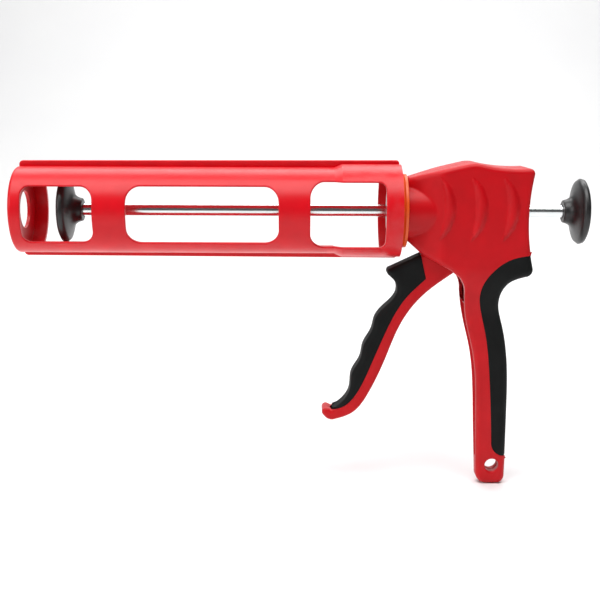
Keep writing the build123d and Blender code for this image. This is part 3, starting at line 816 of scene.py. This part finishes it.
def coil(turns, radius, wire, span, ring=10, steps=60):
    """Wire centre (x(a), r cos a, r sin a), with x easing in and out over one turn at each end."""
    a = np.linspace(0, turns * 2 * math.pi, int(turns * steps))
    share = a / a[-1]
    edge = 1.0 / turns
    pace = np.clip(np.minimum(share, 1 - share) / edge, 0.12, 1)
    x = np.concatenate(([0], np.cumsum((pace[1:] + pace[:-1]) / 2)))
    low, high = span[0] + wire, span[1] - wire
    x = low + (high - low) * x / x[-1]
    centre = np.column_stack((x, radius * np.cos(a), radius * np.sin(a)))
    out = np.column_stack((np.zeros_like(a), np.cos(a), np.sin(a)))
    aside = np.array((1.0, 0.0, 0.0))
    turn = np.arange(ring) * 2 * math.pi / ring
    tube = centre[:, None] + wire * (np.cos(turn)[None, :, None] * out[:, None]
                                     + np.sin(turn)[None, :, None] * aside[None, None])
    faces = [tuple(f) for f in quad_strip(len(a), ring, True)[:, ::-1]]
    faces += [tuple(range(ring)), tuple(range((len(a) - 1) * ring, len(a) * ring))[::-1]]
    return tube.reshape(-1, 3) * MM, faces


spring = mesh_piece("return_spring", *coil(SPRING_TURNS, SPRING_R, WIRE_R, SPRING_SPAN))

# %% [markdown]
# Finishes. The effects that several materials share are node groups: each has named inputs and gives
# out only values, so one group can serve gloss plastic, rubber and metal with other numbers. All of
# them read Object coordinates, which lie still on a part when it moves.

# %% Node helpers
def new_group(name, inputs, outputs):
    """An empty shader group with named sockets, and its two end nodes."""
    made = bpy.data.node_groups.new(name, "ShaderNodeTree")
    for label, kind, value in inputs:
        socket = made.interface.new_socket(label, in_out="INPUT", socket_type=kind)
        if value is not None:
            socket.default_value = value
    for label in outputs:
        made.interface.new_socket(label, in_out="OUTPUT", socket_type="NodeSocketFloat")
    return made, made.nodes.new("NodeGroupInput"), made.nodes.new("NodeGroupOutput")


def node(tree, kind, inputs=(), **settings):
    """A node with its settings and inputs; an input is a number, a colour or another node's output."""
    made = tree.nodes.new("ShaderNode" + kind)
    for key, value in settings.items():
        setattr(made, key, value)
    for key, value in dict(inputs).items():
        if isinstance(value, bpy.types.NodeSocket):
            tree.links.new(value, made.inputs[key])
        else:
            made.inputs[key].default_value = value
    return made


def maths(tree, operation, a, b=0.5, clamp=False):
    """The output of a Math node."""
    return node(tree, "Math", {0: a, 1: b}, operation=operation, use_clamp=clamp).outputs[0]


def spread(tree, value, low, high, to_low=0.0, to_high=1.0):
    """The output of a Map Range node from low..high to to_low..to_high."""
    return node(tree, "MapRange", {"Value": value, "From Min": low, "From Max": high, "To Min": to_low,
                                   "To Max": to_high}).outputs["Result"]


VECTOR, FLOAT = "NodeSocketVector", "NodeSocketFloat"

# %% [markdown]
# Moulded plastic copies the steel of its mould: a fine even grain, and under it a slow waviness that
# makes highlights tremble a little. The group gives the grain's height and the slow change apart, so
# that a material can use one for bump and the other for its roughness.

# %% Group: moulded grain
def moulded_grain():
    group, start, end = new_group("moulded_grain", [
        ("Vector", VECTOR, None), ("Grain Scale", FLOAT, 2500.0), ("Wave Scale", FLOAT, 60.0)],
        ("Height", "Slow"))
    place = start.outputs["Vector"]
    fine = node(group, "TexNoise", {"Vector": place, "Scale": start.outputs["Grain Scale"],
                                    "Detail": 2.0, "Roughness": 0.6})
    slow = node(group, "TexNoise", {"Vector": place, "Scale": start.outputs["Wave Scale"],
                                    "Detail": 2.0, "Roughness": 0.5})
    height = maths(group, "ADD", maths(group, "MULTIPLY", fine.outputs[0], 0.45),
                   maths(group, "MULTIPLY", slow.outputs[0], 0.55))
    group.links.new(height, end.inputs["Height"])
    group.links.new(spread(group, slow.outputs[0], 0.3, 0.7), end.inputs["Slow"])
    return group


grain_group = moulded_grain()

# %% [markdown]
# Handling leaves hair-fine scratches in no one direction. Three noise fields, each stretched along
# another direction and cut to their thin crests, give sparse short marks without a regular pattern.

# %% Group: handling marks
def handling_marks():
    group, start, end = new_group("handling_marks", [
        ("Vector", VECTOR, None), ("Scale", FLOAT, 90.0)], ("Mask",))
    marks = None
    for turn in ((0.3, 0.9, 0.2), (1.4, 0.2, 1.1), (0.8, 2.2, 0.6)):
        turned_round = node(group, "Mapping", {"Vector": start.outputs["Vector"], "Rotation": turn,
                                               "Scale": (0.12, 1.6, 1.0)})
        field = node(group, "TexNoise", {
            "Vector": turned_round.outputs[0], "Scale": start.outputs["Scale"], "Detail": 1.0})
        crest = maths(group, "ABSOLUTE", maths(group, "SUBTRACT", field.outputs[0], 0.5))
        thin_line = spread(group, crest, 0.0, 0.004, 1.0, 0.0)
        marks = thin_line if marks is None else maths(group, "MAXIMUM", marks, thin_line)
    patch = node(group, "TexNoise", {"Vector": start.outputs["Vector"], "Scale": 28.0, "Detail": 2.0})
    kept = maths(group, "MULTIPLY", marks, spread(group, patch.outputs[0], 0.55, 0.68), clamp=True)
    group.links.new(kept, end.inputs["Mask"])
    return group


marks_group = handling_marks()

# %% [markdown]
# Convex edges are painted a little paler, as a painted highlight along them. Geometry's Pointiness is
# above a half where the surface is convex, so a narrow band of it, broken up by noise, picks out the
# edges.

# %% Group: painted edge highlight
def painted_edge_highlight():
    group, start, end = new_group("painted_edge_highlight", [
        ("Vector", VECTOR, None), ("From", FLOAT, 0.52), ("To", FLOAT, 0.60)], ("Mask",))
    bend = node(group, "NewGeometry")
    broken = node(group, "TexNoise", {"Vector": start.outputs["Vector"], "Scale": 140.0, "Detail": 3.0})
    # This mask paints a highlight: convex edges are made paler in colour.
    edge = spread(group, bend.outputs["Pointiness"], start.outputs["From"], start.outputs["To"])
    kept = maths(group, "MULTIPLY", edge, spread(group, broken.outputs[0], 0.35, 0.7), clamp=True)
    group.links.new(kept, end.inputs["Mask"])
    return group


edge_highlight_group = painted_edge_highlight()

# %% [markdown]
# A little dust settles on faces that look up. The group compares the normal with straight up and
# breaks the result into specks and a thin film.

# %% Group: settled dust
def settled_dust():
    group, start, end = new_group("settled_dust", [
        ("Vector", VECTOR, None), ("Speck Scale", FLOAT, 900.0)], ("Mask",))
    facing = node(group, "NewGeometry")
    up = node(group, "SeparateXYZ", {0: facing.outputs["Normal"]}).outputs["Z"]
    specks = node(group, "TexNoise", {
        "Vector": start.outputs["Vector"], "Scale": start.outputs["Speck Scale"], "Detail": 1.0})
    film = node(group, "TexNoise", {"Vector": start.outputs["Vector"], "Scale": 45.0, "Detail": 3.0})
    upward = spread(group, up, 0.3, 1.0)
    speck = maths(group, "MULTIPLY", spread(group, specks.outputs[0], 0.66, 0.72), 0.7)
    haze = maths(group, "MULTIPLY", spread(group, film.outputs[0], 0.4, 0.8), 0.3)
    kept = maths(group, "MULTIPLY", upward, maths(group, "MAXIMUM", speck, haze), clamp=True)
    group.links.new(kept, end.inputs["Mask"])
    return group


dust_group = settled_dust()

# %% [markdown]
# Drawn rod and turned parts have lines: along the bar where it was pulled through a die, and round it
# where a tool cut. Both are noise that is squeezed hard one way by a Mapping node.

# %% Group: drawn lines
def drawn_lines():
    group, start, end = new_group("drawn_lines", [
        ("Vector", VECTOR, None), ("Squeeze", VECTOR, (0.02, 1.0, 1.0)), ("Scale", FLOAT, 3500.0)],
        ("Lines", "Stain"))
    squeezed = node(group, "Mapping", {
        "Vector": start.outputs["Vector"], "Scale": start.outputs["Squeeze"]})
    lines = node(group, "TexNoise", {"Vector": squeezed.outputs[0], "Scale": start.outputs["Scale"],
                                     "Detail": 3.0, "Roughness": 0.7})
    stain = node(group, "TexNoise", {"Vector": start.outputs["Vector"], "Scale": 70.0, "Detail": 4.0})
    group.links.new(lines.outputs[0], end.inputs["Lines"])
    group.links.new(spread(group, stain.outputs[0], 0.35, 0.7), end.inputs["Stain"])
    return group


lines_group = drawn_lines()

# %% [markdown]
# Every plastic and rubber here is the same recipe with other numbers: a base colour that the slow
# waviness darkens a touch, convex edges painted paler as a painted highlight, dust on top, scratches that
# only change the gloss, and the grain as bump. The recipe is a function, and the Principled BSDF stays in
# each material.

# %% Plastics and rubbers
def start_material(name, colour, roughness, metallic, more):
    """A material whose Principled BSDF holds the constants, with its tree, shader and coordinates."""
    made = bpy.data.materials.new(name)
    made.use_nodes = True
    tree = made.node_tree
    shader = tree.nodes["Principled BSDF"]
    shader.inputs["Base Color"].default_value = (*colour, 1)
    shader.inputs["Roughness"].default_value = roughness
    shader.inputs["Metallic"].default_value = metallic
    for key, value in more.items():
        shader.inputs[key].default_value = value
    place = node(tree, "TexCoord").outputs["Object"]
    return made, tree, shader, place


def grouped(tree, group, inputs):
    """A group node in a material, with its inputs set."""
    made = tree.nodes.new("ShaderNodeGroup")
    made.node_tree = group
    for key, value in inputs.items():
        if isinstance(value, bpy.types.NodeSocket):
            tree.links.new(value, made.inputs[key])
        else:
            made.inputs[key].default_value = value
    return made


def blend_colour(tree, mask, a, b):
    """The output of a colour mix from a to b; each is a colour or another node's output."""
    return node(tree, "Mix", {0: mask, 6: a, 7: b}, data_type="RGBA").outputs[2]


def plastic(name, colour, roughness, grain=(2500.0, 60.0), bump=0.02, shade=0.88, edge_highlight_share=0.25, dust=0.10,
            swing=0.06, marks=0.08, **more):
    """Moulded plastic or rubber. bump is the grain's height in millimetres."""
    made, tree, shader, place = start_material(name, colour, roughness, 0.0, more)
    texture = grouped(tree, grain_group, {
        "Vector": place, "Grain Scale": grain[0], "Wave Scale": grain[1]})
    scratch = grouped(tree, marks_group, {"Vector": place})
    edges = grouped(tree, edge_highlight_group, {"Vector": place})
    dusty = grouped(tree, dust_group, {"Vector": place})
    dark = (*[c * shade for c in colour], 1)
    pale = (*[c + (0.9 - c) * 0.12 for c in colour], 1)
    tinted = blend_colour(tree, texture.outputs["Slow"], (*colour, 1), dark)
    # Painted highlight: convex edges are mixed towards a paler colour.
    with_edge_highlight = blend_colour(tree, maths(tree, "MULTIPLY", edges.outputs["Mask"], edge_highlight_share), tinted, pale)
    dusted = blend_colour(tree, maths(tree, "MULTIPLY", dusty.outputs["Mask"], dust), with_edge_highlight,
                          (0.55, 0.52, 0.48, 1))
    tree.links.new(dusted, shader.inputs["Base Color"])
    gloss = spread(tree, texture.outputs["Slow"], 0.0, 1.0, roughness - swing / 2, roughness + swing / 2)
    gloss = maths(tree, "ADD", gloss, maths(tree, "MULTIPLY", scratch.outputs["Mask"], marks))
    gloss = maths(tree, "ADD", gloss, maths(tree, "MULTIPLY", dusty.outputs["Mask"], dust), clamp=True)
    tree.links.new(gloss, shader.inputs["Roughness"])
    relief = node(tree, "Bump", {
        "Height": texture.outputs["Height"], "Distance": bump * MM, "Strength": 1.0})
    tree.links.new(relief.outputs[0], shader.inputs["Normal"])
    return made


finishes = {
    "red_cradle": plastic("red_cradle", (0.66, 0.002, 0.009), 0.34, grain=(1400.0, 70.0), bump=0.008,
                          dust=0.02, **{"Specular IOR Level": 0.32}),
    "red_body": plastic("red_body", (0.54, 0.0015, 0.006), 0.40, grain=(3200.0, 80.0), bump=0.03,
                        dust=0.02, **{"Specular IOR Level": 0.24}),
    "orange_ring": plastic("orange_ring", (0.90, 0.115, 0.008), 0.38, bump=0.01),
    "black_grip": plastic("black_grip", (0.0060, 0.0066, 0.0066), 0.62, grain=(1900.0, 90.0), bump=0.09,
                          shade=0.8, edge_highlight_share=0.10, dust=0.01, swing=0.1, **{"Specular IOR Level": 0.14}),
    "black_plastic": plastic("black_plastic", (0.009, 0.009, 0.0095), 0.36, grain=(1600.0, 60.0),
                             bump=0.012, edge_highlight_share=0.2, dust=0.05),
    "grey_plastic": plastic("grey_plastic", (0.25, 0.25, 0.26), 0.5, bump=0.02),
    "seal_rubber": plastic("seal_rubber", (0.01, 0.01, 0.01), 0.8, bump=0.04),
}
print("plastics:", sorted(finishes))

# %% [markdown]
# The metals share a second recipe: the lines change both the gloss and the height by a very little,
# and a stain field turns the zinc's colour between bluish and straw, as its clear passivation does.

# %% Metals
def metal(name, colour, stain, roughness, squeeze, scale, swing=0.12, bump=0.004, marks=0.1):
    """Plated, drawn or turned metal. Squeeze says which way the lines run."""
    made, tree, shader, place = start_material(name, colour, roughness, 1.0, {})
    lines = grouped(tree, lines_group, {"Vector": place, "Squeeze": squeeze, "Scale": scale})
    scratch = grouped(tree, marks_group, {"Vector": place, "Scale": 160.0})
    tint = blend_colour(tree, lines.outputs["Stain"], (*colour, 1), (*stain, 1))
    tree.links.new(tint, shader.inputs["Base Color"])
    gloss = spread(tree, lines.outputs["Lines"], 0.3, 0.7, roughness - swing / 2, roughness + swing / 2)
    gloss = maths(tree, "ADD", gloss, maths(tree, "MULTIPLY", scratch.outputs["Mask"], marks), clamp=True)
    tree.links.new(gloss, shader.inputs["Roughness"])
    relief = node(tree, "Bump", {
        "Height": lines.outputs["Lines"], "Distance": bump * MM, "Strength": 1.0})
    tree.links.new(relief.outputs[0], shader.inputs["Normal"])
    return made


ALONG_X, ROUND_X, ALL_WAYS = (0.01, 1.0, 1.0), (1.0, 0.03, 0.03), (1.0, 1.0, 1.0)
ALONG_Y = (0.4, 0.02, 1.0)
finishes.update({
    "zinc_rod": metal("zinc_rod", (0.80, 0.82, 0.83), (0.72, 0.76, 0.76), 0.2, ALONG_X, 3000.0),
    "zinc_hardware": metal("zinc_hardware", (0.70, 0.71, 0.72), (0.64, 0.62, 0.56), 0.34, ALL_WAYS,
                           900.0),
    "cast_zinc": metal("cast_zinc", (0.55, 0.56, 0.58), (0.48, 0.48, 0.47), 0.4, ROUND_X, 2600.0,
                       bump=0.01),
    "hard_steel": metal("hard_steel", (0.22, 0.22, 0.24), (0.16, 0.15, 0.17), 0.38, ALONG_Y, 2200.0),
    "spring_steel": metal("spring_steel", (0.46, 0.46, 0.47), (0.35, 0.34, 0.33), 0.3, ALL_WAYS,
                          1500.0),
})

# %% [markdown]
# The stage gets a paper-like finish too, so that the shadow falls on something with a surface.

# %% Floor finish
paper, paper_tree, paper_shader, paper_place = start_material("paper", (0.86, 0.86, 0.86), 0.7, 0.0, {
    "Specular IOR Level": 0.2})
tooth = grouped(paper_tree, grain_group, {"Vector": paper_place, "Grain Scale": 500.0, "Wave Scale": 4.0})
paper_tree.links.new(blend_colour(paper_tree, tooth.outputs["Slow"], (0.87, 0.87, 0.87, 1),
                                  (0.85, 0.85, 0.855, 1)), paper_shader.inputs["Base Color"])
floor.data.materials.append(paper)

# %% [markdown]
# Last, each new piece is given to the body it moves with, to the plain part it stands for, and to its
# finish. The working model's other parts stay as they are and only change material.

# %% Pieces, bodies and finishes
def dress(piece, body, finish, *stands_for):
    """A new piece rides on body, takes the finish and its slot, and stands for the named plain parts."""
    piece.data.materials.clear()
    piece.data.materials.append(finishes[finish])
    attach(piece, body)
    if stands_for:
        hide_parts(*stands_for)


dress(near_shell, "frame", "red_body", "body_shell_near")
dress(far_shell, "frame", "red_body", "body_shell_far")
dress(handle_skin, "frame", "black_grip", "handle_grip")
dress(collar, "frame", "orange_ring", "swivel_ring")
dress(spring, "frame", "spring_steel", "drive_spring")
dress(lever, "trigger", "red_body", "trigger_lever")
dress(hub, "trigger", "red_body")
for cheek in cheeks:
    dress(cheek, "trigger", "red_body")
dress(finger_skin, "trigger", "black_grip", "trigger_grip")
dress(plunger, "rod", "black_plastic", "plunger_disc")
dress(thumb, "rod", "black_plastic", "thumb_disc")
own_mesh(spring)

slots = {part["node"]: part["material_slot"] for part in frame["record"]["subparts"]}
for name, part in frame["nodes"].items():
    if part.hide_render:
        continue
    part.data.materials.clear()
    part.data.materials.append(finishes[slots[name]])
print("plain parts that stay:", sorted(n for n, o in frame["nodes"].items() if not o.hide_render))
